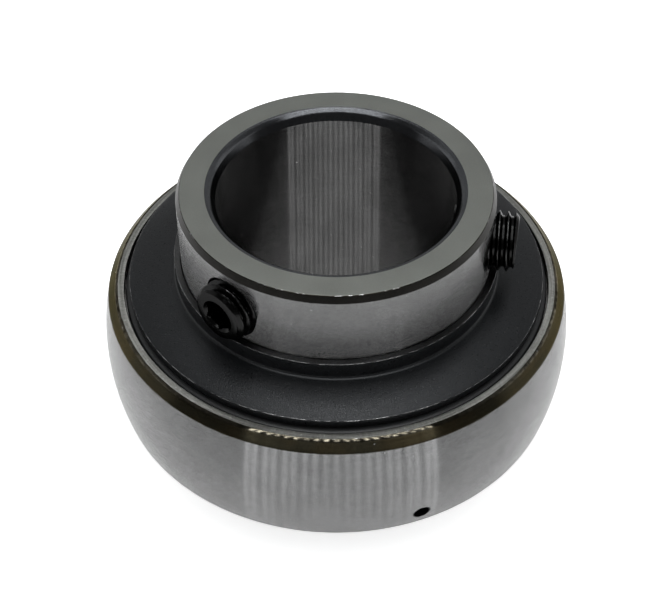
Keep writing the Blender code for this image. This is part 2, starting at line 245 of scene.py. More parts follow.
def blend_colours(tree, factor, first, second):
    """Mix two colours by a factor."""
    return put(tree, "ShaderNodeMix", {0: factor, 6: first, 7: second}, data_type="RGBA").outputs[2]


def grey(value, warm=0.0):
    """An RGBA colour, a little warmer or cooler than neutral."""
    return (value * (1 + warm), value, value * (1 - warm), 1.0)


# %% [markdown]
# ## Shared effects
# Grinding and turning leave lines that run round the axis. The lines depend on the height and the radius
# only, and change slowly on their way round. A four-dimensional noise does that without a seam: its
# fourth number is height plus part of the radius, and its place is the direction from the axis.

# %% Group: turned lines
def new_group(name, inputs, outputs):
    """A shader node group with named inputs (name, default); its outputs are floats, or a normal."""
    group = bpy.data.node_groups.new(name, "ShaderNodeTree")
    for label, value in inputs:
        socket = group.interface.new_socket(label, in_out="INPUT", socket_type="NodeSocketFloat")
        socket.default_value = value
    for label in outputs:
        kind = "NodeSocketVector" if label == "Normal" else "NodeSocketFloat"
        group.interface.new_socket(label, in_out="OUTPUT", socket_type=kind)
    print(f"group {name}: {', '.join(outputs)}")
    return group, group.nodes.new("NodeGroupInput"), group.nodes.new("NodeGroupOutput")


def axis_places(tree):
    """Object coordinates in mm as (direction from the axis, radius, height)."""
    place = put(tree, "ShaderNodeTexCoord").outputs["Object"]
    flat = vector_of(tree, "MULTIPLY", place, (1 / MM, 1 / MM, 0))
    height = math_of(tree, "DIVIDE", put(tree, "ShaderNodeSeparateXYZ", {0: place}).outputs[2], MM)
    return vector_of(tree, "NORMALIZE", flat), vector_of(tree, "LENGTH", flat), height


def turned_lines():
    """Noise at (direction x change round, (height + 0.7 radius) x lines per mm), fine and broad."""
    group, given, result = new_group(
        "turned lines", [("Lines per mm", 8.0), ("Change round", 2.0)], ["Line", "Broad"]
    )
    direction, radius, height = axis_places(group)
    across = math_of(group, "ADD", height, math_of(group, "MULTIPLY", radius, 0.7))
    place = scaled(group, direction, given.outputs["Change round"])
    for label, share, detail in (("Line", 1.0, 2.0), ("Broad", 0.12, 1.0)):
        per_mm = math_of(group, "MULTIPLY", given.outputs["Lines per mm"], share)
        along = math_of(group, "MULTIPLY", across, per_mm)
        noise = put(
            group, "ShaderNodeTexNoise", {"Vector": place, "W": along, "Scale": 1.0, "Detail": detail},
            noise_dimensions="4D",
        )
        group.links.new(noise.outputs[0], result.inputs[label])
    return group


lines_group = turned_lines()

# %% [markdown]
# A scratch tips the surface up or down, across its own run, and hardly sideways. So the light of a lamp
# is smeared far across the scratches, and stays sharp along them. This group turns the surface's normal
# towards Z or away from it, from line to line. The angles should be spread evenly and not just drawn by
# chance, or the light turns blotchy. The row number times 0.618, without its whole part, does that: each
# new row falls into the widest gap that the rows before it have left.

# %% Group: scratched normal
GOLDEN, ROWS_IN_BLOCK, BLOCK_SHIFT = 0.618034, 12.0, (0.618, 0.377, 0.0)


def scratched_normal():
    """cos(angle) normal + sin(angle) Z, where the angle is reach x share to the power of peak.

    The share runs from -1 to 1 and keeps its sign. It is the part after the point of row x GOLDEN
    + chance, where chance changes from cut to cut round the ring and from block to block of rows.
    """
    group, given, result = new_group(
        "scratched normal",
        [("Lines per mm", 90.0), ("Cuts round", 70.0), ("Reach", 1.0), ("Peak", 1.3)], ["Normal"],
    )
    direction, _, height = axis_places(group)
    row = math_of(group, "FLOOR", math_of(group, "MULTIPLY", height, given.outputs["Lines per mm"]))
    block = math_of(group, "FLOOR", math_of(group, "DIVIDE", row, ROWS_IN_BLOCK))
    cuts = scaled(group, direction, given.outputs["Cuts round"])
    cell = vector_of(group, "FLOOR", vector_of(group, "ADD", cuts, scaled(group, BLOCK_SHIFT, block)))
    chance = put(group, "ShaderNodeTexWhiteNoise", {"Vector": cell, "W": block}, noise_dimensions="4D")
    golden = math_of(group, "MULTIPLY", row, GOLDEN)
    spread_out = math_of(group, "FRACT", math_of(group, "ADD", golden, chance.outputs["Value"]))
    share = ranged(group, spread_out, 0.0, 1.0, -1.0, 1.0)
    steep = math_of(group, "POWER", math_of(group, "ABSOLUTE", share), given.outputs["Peak"])
    signed = math_of(group, "MULTIPLY", steep, math_of(group, "SIGN", share))
    angle = math_of(group, "MULTIPLY", signed, given.outputs["Reach"])
    surface = put(group, "ShaderNodeNewGeometry").outputs["Normal"]
    level = scaled(group, surface, math_of(group, "COSINE", angle))
    rise = put(group, "ShaderNodeCombineXYZ", {2: math_of(group, "SINE", angle)}).outputs[0]
    tipped = vector_of(group, "NORMALIZE", vector_of(group, "ADD", level, rise))
    group.links.new(tipped, result.inputs["Normal"])
    return group


scratch_group = scratched_normal()

# %% [markdown]
# A third group gives fine even grain, as on blasted or coated metal and rubber, with larger clouds for
# handling marks. A fourth gives short strokes that run outwards from the axis, for a face that was
# finished on a grinding disc. A fifth gives rare bright specks and nicks.

# %% Groups: grain, strokes, specks
CLOUDS_PER_METRE, RARE_ABOVE = 260.0, 0.72


def fine_grain():
    """Noise on Object coordinates, once as fine as asked and once in clouds of about 4 mm."""
    group, given, result = new_group("fine grain", [("Grains per mm", 10.0)], ["Grain", "Cloud"])
    place = put(group, "ShaderNodeTexCoord").outputs["Object"]
    per_metre = math_of(group, "DIVIDE", given.outputs["Grains per mm"], MM)
    for label, scale, detail in (("Grain", per_metre, 3.0), ("Cloud", CLOUDS_PER_METRE, 4.0)):
        noise = put(group, "ShaderNodeTexNoise", {"Vector": place, "Scale": scale, "Detail": detail})
        group.links.new(noise.outputs[0], result.inputs[label])
    return group


def outward_strokes():
    """Noise at (direction x strokes, radius x 2.2), so that it changes faster round than outwards."""
    group, given, result = new_group("outward strokes", [("Strokes", 90.0)], ["Stroke"])
    direction, radius, _ = axis_places(group)
    noise = put(
        group, "ShaderNodeTexNoise",
        {"Vector": scaled(group, direction, given.outputs["Strokes"]),
         "W": math_of(group, "MULTIPLY", radius, 2.2), "Scale": 1.0, "Detail": 3.0, "Roughness": 0.7},
        noise_dimensions="4D",
    )
    group.links.new(noise.outputs[0], result.inputs["Stroke"])
    return group


def bright_specks():
    """1 within reach of a cell's middle, for the share of cells that chance puts above RARE_ABOVE."""
    group, given, result = new_group("bright specks", [("Specks per mm", 1.2), ("Reach", 0.1)], ["Speck"])
    place = put(group, "ShaderNodeTexCoord").outputs["Object"]
    per_metre = math_of(group, "DIVIDE", given.outputs["Specks per mm"], MM)
    cells = put(group, "ShaderNodeTexVoronoi", {"Vector": place, "Scale": per_metre, "Randomness": 1.0})
    near = math_of(group, "LESS_THAN", cells.outputs["Distance"], given.outputs["Reach"])
    chance = put(group, "ShaderNodeTexWhiteNoise", {"Vector": cells.outputs["Position"]})
    rare = math_of(group, "GREATER_THAN", chance.outputs["Value"], RARE_ABOVE)
    group.links.new(math_of(group, "MULTIPLY", near, rare), result.inputs["Speck"])
    return group


grain_group = fine_grain()
strokes_group = outward_strokes()
specks_group = bright_specks()


def effect(tree, group, **sockets):
    """Place a shared group and give it this finish's own values."""
    node = tree.nodes.new("ShaderNodeGroup")
    node.node_tree = group
    for key, value in sockets.items():
        node.inputs[key.replace("_", " ")].default_value = value
    return node.outputs


# %% [markdown]
# ## Ground steel
# The outside and the bore are ground while they spin, so the scratches run round and the light is drawn
# out across them. A Principled shader does that with Anisotropic at full, a tangent that runs round Z and
# a quarter turn of it, and the scratched normal carries it further. The reach is the steepest scratch in
# radians. A peak below 1 makes more of the scratches steep, one above 1 makes more of them shallow.

# %% Ground finishes
def finish_tree(name, colour, metallic, roughness, **more):
    """A new material and its Principled shader with the plain values set on its own sockets."""
    material = bpy.data.materials.new(name)
    material.use_nodes = True
    tree = material.node_tree
    shader = tree.nodes["Principled BSDF"]
    shader.inputs["Base Color"].default_value = colour
    shader.inputs["Metallic"].default_value = metallic
    shader.inputs["Roughness"].default_value = roughness
    for key, value in more.items():
        shader.inputs[key.replace("_", " ")].default_value = value
    print("finish:", name)
    return material, tree, shader


def feed(tree, shader, **sources):
    """Link outputs to the shader's sockets."""
    for key, source in sources.items():
        tree.links.new(source, shader.inputs[key.replace("_", " ")])


def run_round(tree, shader):
    """Lay the shader's tangent round Z, the way that the scratches run."""
    tangent = put(tree, "ShaderNodeTangent", direction_type="RADIAL", axis="Z")
    feed(tree, shader, Tangent=tangent.outputs[0])


def bumped(tree, shader, height_value, depth_mm):
    """Feed a height into the shader's normal, with its depth in millimetres."""
    bump = put(tree, "ShaderNodeBump", {"Height": height_value, "Distance": depth_mm * MM, "Strength": 1.0})
    feed(tree, shader, Normal=bump.outputs[0])


def ground_finish(name, colour, roughness, reach, peak=1.2, contrast=0.12, specks=0.05):
    """Steel ground round the axis, with lines, soft clouds, a few bright specks and scratches."""
    material, tree, shader = finish_tree(
        name, colour, 1.0, roughness, Anisotropic=1.0, Anisotropic_Rotation=0.25
    )
    run_round(tree, shader)
    marks = effect(tree, lines_group, Lines_per_mm=20.0, Change_round=5.0)
    clouds = effect(tree, grain_group, Grains_per_mm=14.0)
    dots = effect(tree, specks_group, Specks_per_mm=1.3, Reach=specks)
    scratches = effect(tree, scratch_group, Reach=reach, Peak=peak)
    line_share = ranged(tree, marks["Line"], 0.3, 0.7, 1 - contrast, 1 + contrast)
    cloud_share = ranged(tree, clouds["Cloud"], 0.35, 0.65, 1 - 0.5 * contrast, 1 + 0.5 * contrast)
    tinted = scaled(tree, colour[:3], math_of(tree, "MULTIPLY", line_share, cloud_share))
    spotted = blend_colours(tree, dots["Speck"], tinted, grey(0.8))
    rough = ranged(tree, marks["Broad"], 0.3, 0.7, roughness * 0.9, roughness * 1.1)
    feed(tree, shader, Base_Color=spotted, Roughness=rough, Normal=scratches["Normal"])
    return material


sphere_steel = ground_finish("ground outside", grey(0.225), 0.14, reach=1.0, peak=0.7)
cylinder_steel = ground_finish("ground shoulder", grey(0.195), 0.14, reach=0.9, peak=2.9, contrast=0.08)
bore_steel = ground_finish("honed bore", grey(0.08, 0.01), 0.13, reach=1.3, peak=0.6, contrast=0.25)
race_steel = ground_finish("ground raceway", grey(0.5), 0.15, reach=0.1, specks=0.0)

# %% [markdown]
# ## The other steel finishes
# The ends of the inner ring are ground flat on a table, which leaves a dull, even, slightly olive grey.
# The corner of the outer ring keeps the brown skin of hardening, rubbed paler and glossier beside the
# face. The thin side face is bright, with fine rings and a few nicks across them. The bore's chamfer is
# smooth and blue-black. Specular Tint darkens the brown at a slant, where plain metal would turn white.

# %% Faces, rounds and chamfers
def grained_finish(name, colour, metallic, roughness, grains=12.0, depth=0.0008, contrast=0.1, **more):
    """A dull metal or coating with fine even grain and soft clouds; the grain's depth is in mm."""
    material, tree, shader = finish_tree(name, colour, metallic, roughness, **more)
    marks = effect(tree, grain_group, Grains_per_mm=grains)
    share = math_of(
        tree, "MULTIPLY", ranged(tree, marks["Grain"], 0.3, 0.7, 1 - contrast, 1 + contrast),
        ranged(tree, marks["Cloud"], 0.35, 0.65, 1 - 0.4 * contrast, 1 + 0.4 * contrast),
    )
    rough = ranged(tree, marks["Cloud"], 0.3, 0.7, roughness * 0.92, roughness * 1.08)
    feed(tree, shader, Base_Color=scaled(tree, colour[:3], share), Roughness=rough)
    bumped(tree, shader, marks["Grain"], depth)
    return material


end_face = grained_finish("ground end face", (0.30, 0.31, 0.285, 1), 1.0, 0.34, grains=9.0, contrast=0.07)
dark_chamfer = grained_finish(
    "turned dark chamfer", (0.014, 0.013, 0.011, 1), 0.3, 0.38, grains=8.0, contrast=0.3,
    Specular_IOR_Level=0.25,
)
blue_chamfer = grained_finish(
    "blue black chamfer", (0.105, 0.109, 0.115, 1), 1.0, 0.2, grains=7.0, depth=0.0007, contrast=0.3
)
hidden_steel = grained_finish("turned steel", grey(0.06, 0.02), 1.0, 0.42)

# %% Brown skin and side face
RUBBED_FROM, RUBBED_TO = 7.26, 7.4


def brown_finish():
    """The skin of hardening: brown, rubbed paler and glossier beside the face, with lines and small nicks.

    It is rubbed where the way from the ball plane passes from RUBBED_FROM to RUBBED_TO.
    """
    material, tree, shader = finish_tree(
        "brown hardened round", (0.1, 0.085, 0.05, 1), 1.0, 0.16, Anisotropic=1.0, Anisotropic_Rotation=0.25,
        Specular_Tint=(0.53, 0.52, 0.47, 1.0),
    )
    run_round(tree, shader)
    lines = effect(tree, lines_group, Lines_per_mm=26.0, Change_round=4.0)
    clouds = effect(tree, grain_group, Grains_per_mm=5.0)
    dots = effect(tree, specks_group, Specks_per_mm=1.1, Reach=0.07)
    strokes = effect(tree, strokes_group, Strokes=45.0)
    scratches = effect(tree, scratch_group, Reach=0.1, Peak=1.0)
    height = axis_places(tree)[2]
    from_middle = math_of(tree, "ABSOLUTE", math_of(tree, "SUBTRACT", height, BALL_PLANE))
    rubbed = ranged(tree, from_middle, RUBBED_FROM, RUBBED_TO)
    skin = blend_colours(
        tree, ranged(tree, clouds["Cloud"], 0.4, 0.6), (0.062, 0.051, 0.029, 1), (0.048, 0.044, 0.029, 1)
    )
    gloss = scaled(tree, (0.13, 0.118, 0.09), ranged(tree, strokes[0], 0.38, 0.62, 0.25, 1.5))
    glossed = blend_colours(tree, rubbed, skin, gloss)
    lined = blend_colours(
        tree, ranged(tree, lines["Line"], 0.45, 0.75, 0.0, 0.6), glossed, (0.02, 0.016, 0.009, 1)
    )
    nicked = blend_colours(tree, dots["Speck"], lined, grey(0.5))
    rough = ranged(tree, rubbed, 0.0, 1.0, 0.22, 0.08)
    feed(tree, shader, Base_Color=nicked, Roughness=rough, Normal=scratches["Normal"])
    return material


def side_finish():
    """The bright side face: fine rings, crossed by soft strokes and a few bright nicks that run outwards."""
    material, tree, shader = finish_tree("bright side face", grey(0.3, 0.02), 1.0, 0.36, Anisotropic=0.4)
    run_round(tree, shader)
    strokes = effect(tree, strokes_group, Strokes=110.0)
    rings = effect(tree, lines_group, Lines_per_mm=6.0, Change_round=4.0)
    nicks = effect(tree, strokes_group, Strokes=60.0)
    worked = math_of(
        tree, "MULTIPLY", ranged(tree, strokes[0], 0.36, 0.66, 0.78, 1.15),
        ranged(tree, rings["Line"], 0.3, 0.7, 0.6, 1.4),
    )
    share = math_of(tree, "MULTIPLY", worked, ranged(tree, nicks[0], 0.62, 0.65, 1.0, 1.7))
    rough = ranged(tree, strokes[0], 0.3, 0.7, 0.4, 0.3)
    feed(tree, shader, Base_Color=scaled(tree, (0.30, 0.30, 0.28), share), Roughness=rough)
    bumped(tree, shader, strokes[0], 0.005)
    return material


brown_round = brown_finish()
side_face = side_finish()

# %% [markdown]
# ## Black parts
# The flingers are pressed from sheet and coated black. Their corners were rubbed bare, so a thin line
# glints along each rim where a lamp finds it, broken here and there. That line is a strip of faces with
# its own finish, because a bare edge is where the metal is, not a colour painted by angle. The screws
# carry black oxide, with their crests worn: the mesh marks how close each point is to a crest.

# %% Black finishes
def worn_edge(name, coat, bare, low=0.44, high=0.56):
    """A thin glossy edge: bare steel in broken lengths, and the dark coat between them."""
    material, tree, shader = finish_tree(name, bare, 1.0, 0.2)
    strokes = effect(tree, strokes_group, Strokes=26.0)
    breaks = effect(tree, strokes_group, Strokes=6.0)
    mask = math_of(
        tree, "MULTIPLY", ranged(tree, strokes[0], low, high), ranged(tree, breaks[0], 0.32, 0.6, 0.25, 1.0)
    )
    rough = ranged(tree, strokes[0], 0.3, 0.7, 0.28, 0.14)
    feed(tree, shader, Base_Color=blend_colours(tree, mask, coat, bare), Roughness=rough)
    bumped(tree, shader, strokes[0], 0.01)
    return material


def flinger_finish():
    """Black coating over pressed steel: half gloss, finely speckled, a little blue."""
    material, tree, shader = finish_tree(
        "black coated flinger", (0.008, 0.009, 0.01, 1), 0.0, 0.36, Specular_IOR_Level=0.42,
        Specular_Tint=(0.95, 0.975, 1.0, 1.0),
    )
    grains = effect(tree, grain_group, Grains_per_mm=7.0)
    dots = effect(tree, specks_group, Specks_per_mm=3.0, Reach=0.16)
    speckle = blend_colours(
        tree, ranged(tree, grains["Grain"], 0.42, 0.66), (0.002, 0.0022, 0.0026, 1), (0.007, 0.0078, 0.009, 1)
    )
    dusty = blend_colours(tree, math_of(tree, "MULTIPLY", dots["Speck"], 0.12), speckle, grey(0.3))
    feed(tree, shader, Base_Color=dusty, Roughness=ranged(tree, grains["Grain"], 0.3, 0.7, 0.26, 0.44))
    bumped(tree, shader, grains["Grain"], 0.02)
    return material


def oxide_finish():
    """Black oxide that the crests of the thread have lost."""
    material, tree, shader = finish_tree(
        "black oxide screw", grey(0.004), 1.0, 0.2, Specular_Tint=(0.5, 0.5, 0.5, 1.0)
    )
    crest = put(tree, "ShaderNodeAttribute", attribute_name="crest").outputs["Fac"]
    grains = effect(tree, grain_group, Grains_per_mm=6.0)
    patchy = ranged(tree, grains["Cloud"], 0.4, 0.6, 0.2, 0.9)
    worn = math_of(tree, "MULTIPLY", ranged(tree, crest, 0.93, 1.0), patchy)
    oxide = blend_colours(tree, worn, (0.018, 0.018, 0.018, 1), grey(0.10))
    feed(tree, shader, Base_Color=oxide, Roughness=ranged(tree, grains["Grain"], 0.3, 0.7, 0.14, 0.26))
    bumped(tree, shader, grains["Grain"], 0.003)
    return material


black_flinger = flinger_finish()
black_screw = oxide_finish()
bare_rim = worn_edge("rubbed rim", (0.025, 0.025, 0.027, 1), grey(0.4))
cut_edge = grained_finish("sheet cut edge", grey(0.09), 1.0, 0.32, grains=9.0, contrast=0.25)
hole_steel = grained_finish("threaded hole", grey(0.05), 1.0, 0.4)
bare_face_edge = worn_edge("bright corner", (0.03, 0.028, 0.022, 1), grey(0.5), low=0.54, high=0.62)

# %% Rubber and inner steel
black_rubber = grained_finish(
    "nitrile rubber", (0.012, 0.0125, 0.013, 1), 0.0, 0.4, grains=6.0, depth=0.004, contrast=0.25
)
ball_steel = grained_finish("polished ball", grey(0.62), 1.0, 0.09, grains=3.0, depth=0.0, contrast=0.03)
strip_steel = grained_finish(
    "pressed strip", (0.46, 0.455, 0.44, 1), 1.0, 0.36, grains=5.0, depth=0.003, contrast=0.12
)
rivet_steel = grained_finish(
    "rivet steel", (0.40, 0.395, 0.38, 1), 1.0, 0.33, grains=7.0, depth=0.003, contrast=0.15
)

# %% [markdown]
# ## The inner ring
# A long ring with a raceway, an end that runs 19.8 mm above the ball plane to hold the screws, and a
# chamfer at the bore that bends twice, so that only its shallow outer lip shows the lamps overhead. It is
# turned from one section, so each zone gets its own finish by row. The screw holes are cut after that
# with radial drills, each with a small countersink.

# %% Inner ring
BALL_D, BALL_PLAY, WALL = 7.938, 0.15, 2.531
BORE_R, RING_R, TOP_Z, FOOT_Z = 12.7, 16.85, 19.8, -BALL_PLANE
GROOVE_R, RACE_R, RACE_STEPS = 0.52 * BALL_D, BORE_R + WALL, 28
groove_centre = RACE_R + GROOVE_R
spread = math.degrees(math.acos((groove_centre - RING_R) / GROOVE_R))
BORE_CHAMFER = [(0.0, 1.2, 0.3), (0.42, 0.37, 0.8), (0.76, 0.065, 0.45), (1.1, 0.0, 0.1)]
OUTSIDE_CHAMFER = [(0.4, 0.0, 0.1), (0.0, 0.7, 0.1)]


def ring_end(z, inward):
    """One end of the inner ring, from the bore out.

    A chamfer's points are (way across from the bore or the outside, depth below the end, corner radius).
    """
    bore = [(BORE_R + across, z + inward * depth, corner) for across, depth, corner in BORE_CHAMFER]
    outside = [(RING_R - across, z + inward * depth, corner) for across, depth, corner in OUTSIDE_CHAMFER]
    return bore + outside


inner_section = [
    *ring_end(TOP_Z, -1.0),
    *arc_points((groove_centre, 0.0), GROOVE_R, 180 - spread, 180 + spread, RACE_STEPS),
    *ring_end(FOOT_Z, 1.0)[::-1],
]


def inner_zone(r, z):
    """Finish: 0 bore, 1 blue chamfer, 2 end face, 3 dark chamfer, 4 shoulder, 5 raceway, 6 bright corner."""
    from_end = np.minimum(TOP_Z - z, z - FOOT_Z)
    near_bore, near_outside = r < BORE_R + 1.2, r > RING_R - 0.6
    return np.select(
        [r < BORE_R + 0.012, from_end < 0.001, (from_end < 0.008) & (r < RING_R - 1.0),
         near_bore & (from_end < 1.4), (from_end < 0.08) & near_outside,
         (from_end < 0.74) & near_outside, r > RING_R - 0.015],
        [0, 2, 6, 1, 6, 3, 4], 5,
    )


inner_ring = turned_piece(
    "inner_ring_turned", inner_section,
    [bore_steel, blue_chamfer, end_face, dark_chamfer, cylinder_steel, race_steel, bare_face_edge],
    inner_zone,
)

# %% [markdown]
# A drill is turned too: its own section is spun round its own axis, and the axis is then laid along the
# hole. Blender's Boolean takes it out of the ring, and the result is kept as a plain mesh.

# %% Drilling
def radial_points(r, s, turn, degrees, height):
    """Points round a radial axis: r from that axis, s along it from the shaft axis, at a turn round it.

    The axis points out at an angle round the shaft and a height above the ball plane. A point is
    s out + r (cos(turn) side + sin(turn) up).
    """
    angle = math.radians(degrees)
    out, up = np.array([math.cos(angle), math.sin(angle), 0.0]), np.array([0.0, 0.0, 1.0])
    side = np.cross(up, out)
    spoke = np.cos(turn)[..., None] * side + np.sin(turn)[..., None] * up
    return r[..., None] * spoke + s[..., None] * out + np.array([0.0, 0.0, height + BALL_PLANE])


def sunk_hole(start, radius, sink_start, sink_end, sink_radius, end):
    """A drill's (radius, distance) profile: plain at first, then a cone, then wider than the hole."""
    return [
        (0, start), (radius, start), (radius, sink_start),
        (sink_radius, sink_end), (sink_radius, end), (0, end),
    ]


def drill_of(name, profile, columns, degrees, height):
    """A closed cutter from a (radius, distance) profile that starts and ends on its axis."""
    profile = np.array(profile, dtype=float)
    turn = np.linspace(0, 2 * math.pi, columns, endpoint=False)[None, :] + 0 * profile[:, :1]
    points = radial_points(profile[:, :1] + 0 * turn, profile[:, 1:] + 0 * turn, turn, degrees, height)
    faces = grid_faces(len(profile), columns, close_rows=False)
    return mesh_of(name, points.reshape(-1, 3), faces, [hole_steel], np.zeros(len(faces)))


def drilled(piece, drills):
    """Take drills out of a piece and keep the result as its mesh."""
    for drill in drills:
        modifier = piece.modifiers.new("hole", "BOOLEAN")
        modifier.operation, modifier.solver, modifier.object = "DIFFERENCE", "EXACT", drill
        modifier.material_mode = "TRANSFER"
    shape = bpy.data.meshes.new_from_object(piece.evaluated_get(bpy.context.evaluated_depsgraph_get()))
    piece.modifiers.clear()
    plain, piece.data = piece.data, shape
    bpy.data.meshes.remove(plain)
    piece.data.set_sharp_from_angle(angle=math.radians(38))
    for drill in drills:
        bpy.data.objects.remove(drill, do_unlink=True)
    print(f"{piece.name}: {len(piece.data.polygons)} faces after drilling")


# %% Screw holes
# Each screw has its turn round the shaft in degrees and how far it stands out of the ring.
SCREWS = {"set_screw_a": (0.0, 2.5), "set_screw_b": (-120.0, 1.75)}
SCREW_Z = 14.8
screw_hole = sunk_hole(start=8.0, radius=3.28, sink_start=16.42, sink_end=16.72, sink_radius=3.5, end=20.0)
drilled(inner_ring, [
    drill_of("hole_" + name, screw_hole, 96, degrees, SCREW_Z) for name, (degrees, _) in SCREWS.items()
])
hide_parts("inner_ring")
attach(inner_ring, "inner")

# %% [markdown]
# ## The outer ring
# Its outside is part of a ball, so that the bearing can settle in its housing. The seat for the seal is
# turned behind a thin bright side face, and the corner between that face and the ball keeps its brown
# skin. One small hole lets grease in.

# %% Outer ring
OUTER_R, FACE_Z, OUTER_RACE_R = 26.0, 7.5, RACE_R + BALL_D + 2 * BALL_PLAY
SHOULDER_R = OUTER_RACE_R - 0.195 * BALL_D
outer_centre = OUTER_RACE_R - GROOVE_R
outer_spread = math.degrees(math.acos((SHOULDER_R - outer_centre) / GROOVE_R))
SKIN_Z, SKIN_SLOPE, FACE_ROUND, SKIN_ROUND = 6.45, math.radians(42), 0.43, 0.6
skin_r = math.sqrt(OUTER_R ** 2 - SKIN_Z ** 2)
corner_r = skin_r - (FACE_Z - SKIN_Z) * math.tan(SKIN_SLOPE)
face_edge = corner_r - FACE_ROUND * math.tan(0.25 * math.pi - 0.5 * SKIN_SLOPE)
ball_angle = math.degrees(math.asin((SKIN_Z - 0.5) / OUTER_R))
SEAT_R, SEAT_FLOOR, SEAT_LIP, BEAD_DEPTH, SEAT_CORNER = 23.34, 5.45, 6.25, 0.41, 0.08
round_start = [(corner_r, FACE_Z, FACE_ROUND), (skin_r, SKIN_Z, SKIN_ROUND)]
seat = [
    (SHOULDER_R, SEAT_FLOOR, SEAT_CORNER), (SEAT_R + BEAD_DEPTH, SEAT_FLOOR, SEAT_CORNER),
    (SEAT_R + BEAD_DEPTH, SEAT_LIP, SEAT_CORNER), (SEAT_R, SEAT_LIP + BEAD_DEPTH, SEAT_CORNER),
    (SEAT_R, FACE_Z, 0.05),
]
outer_section = [
    *round_start,
    *arc_points((0, 0), OUTER_R, ball_angle, -ball_angle, 44),
    *flipped(round_start),
    *flipped(seat),
    *arc_points((outer_centre, 0), GROOVE_R, -outer_spread, outer_spread, RACE_STEPS),
    *seat,
]


def outer_zone(r, z):
    """Finish: 0 ground ball, 1 brown round, 2 side face, 3 bright corner, 4 raceway, 5 seat."""
    high = np.abs(z)
    return np.select(
        [(np.hypot(r, z) > OUTER_R - 0.016) & (high < SKIN_Z),
         (r > face_edge - 0.05) & (high < FACE_Z - 0.002),
         (high > FACE_Z - 0.001) & (r > SEAT_R + 0.06),
         high > FACE_Z - 0.07, (high < 3.6) & (r > SHOULDER_R)],
        [0, 1, 2, 3, 4], 5,
    )


outer_ring = turned_piece(
    "outer_ring_turned", outer_section,
    [sphere_steel, brown_round, side_face, bare_face_edge, race_steel, hidden_steel], outer_zone, columns=320,
)
OIL_TURN, OIL_Z = -59.8, -4.5
oil_hole = sunk_hole(start=20.0, radius=0.9, sink_start=25.48, sink_end=25.6, sink_radius=1.0, end=28.0)
drilled(outer_ring, [drill_of("oil_drill", oil_hole, 48, OIL_TURN, OIL_Z)])
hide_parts("outer_ring")
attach(outer_ring, "outer")

# %% [markdown]
# ## Seals and flingers
# Behind each flinger a rubber ring, moulded round a steel washer, keeps the grease in. Only a narrow band
# of it shows. The flinger, also called a slinger, is one pressed sheet: a collar that grips the inner
# ring, a tight bend, a plate that sinks outwards in a slow curve, and a rim turned down. The collar's cut
# end is bare.

# %% Seals and flingers
seal_section = [
    (18.3, 7.3, 0.15), (22.9, 7.3, 0.0), (23.1, 7.22, 0.1), (23.2, 7.0, 0.1), (23.2, 6.45, 0.12),
    (18.3, 6.45, 0.1), (17.52, 5.9, 0.06), (17.1, 5.9, 0.06), (17.1, 6.175, 0.06), (17.58, 6.79, 0.2),
]
COLLAR_IN, COLLAR_R, COLLAR_TOP, BEND, SHEET = 16.92, 17.6, 11.3, 0.4, 0.5
DISH_TOP, DISH_POWER, RIM_R, RIM_TOP, RIM_DEPTH = 9.3, 1.6, 22.65, 8.5, 0.85


def dish(radius, drop=0.0):
    """Height of the plate: it sinks by DISH_POWER of the way from the bend to the rim."""
    share = np.clip((radius - COLLAR_R - BEND) / (RIM_R - COLLAR_R - BEND), 0, 1)
    return RIM_TOP + (DISH_TOP - RIM_TOP) * (1 - share ** DISH_POWER) - drop


plate = np.linspace(COLLAR_R + 0.75, RIM_R - 0.35, 12)
under = np.linspace(RIM_R - SHEET - 0.5, COLLAR_R + 0.5, 9)
slinger_section = [
    (COLLAR_IN, COLLAR_TOP, 0.05), (COLLAR_R, COLLAR_TOP, 0.035), (COLLAR_R, DISH_TOP, 0.42),
    *[(r, float(dish(r)), 0.0) for r in plate],
    (RIM_R, RIM_TOP, 0.045), (RIM_R, RIM_TOP - RIM_DEPTH, 0.06), (RIM_R - SHEET, RIM_TOP - RIM_DEPTH, 0.06),
    (RIM_R - SHEET, float(dish(RIM_R - SHEET, SHEET)), 0.2),
    *[(r, float(dish(r, SHEET)), 0.0) for r in under],
    (COLLAR_IN, DISH_TOP - SHEET, 0.45),
]


def slinger_zone(r, z):
    """Finish: 1 on the rubbed corners of collar and rim, 2 on the collar's cut end, 0 elsewhere."""
    top_corner = (z > COLLAR_TOP - 0.033) & (r > COLLAR_R - 0.033)
    rim_corner = (r > RIM_R - 0.045) & (z > RIM_TOP - 0.04)
    return np.select([top_corner | rim_corner, z > COLLAR_TOP - 0.03], [1, 2], 0)


for side, lift in (("upper", 1.0), ("lower", -1.0)):
    rubber = turned_piece(
        "seal_rubber_moulded_" + side, seal_section, [black_rubber], lambda r, z: 0, columns=192, lift=lift
    )
    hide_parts("seal_rubber_" + side)
    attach(rubber, "outer")
    flinger = turned_piece(
        "slinger_pressed_" + side, slinger_section, [black_flinger, bare_rim, cut_edge], slinger_zone,
        lift=lift,
    )
    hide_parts("slinger_" + side)
    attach(flinger, "inner")

# %% [markdown]
# ## The set screws
# A quarter inch screw with 28 turns to the inch, a hexagon socket and a cup point. The whole screw is one
# grid: its rows run from the middle of the socket's floor up the hexagon, over the end face, down the
# thread and into the cup. The thread is a radius that depends on one number, the way along the axis in
# pitches less the turn, so equal numbers lie on a helix.

# %% Set screws
SCREW_R, PITCH, SCREW_LENGTH, FLATS, SOCKET_DEPTH = 3.175, 25.4 / 28, 5.56, 3.175, 2.6
THREAD_DEPTH, CREST_FLAT, ROOT_START = 0.5413 * PITCH, 0.125, 0.75
END_CONE, POINT_R, CREST_MARK_R = 0.45, 1.6, 2.9
SCREW_COLUMNS, ROWS_PER_PITCH = 144, 26


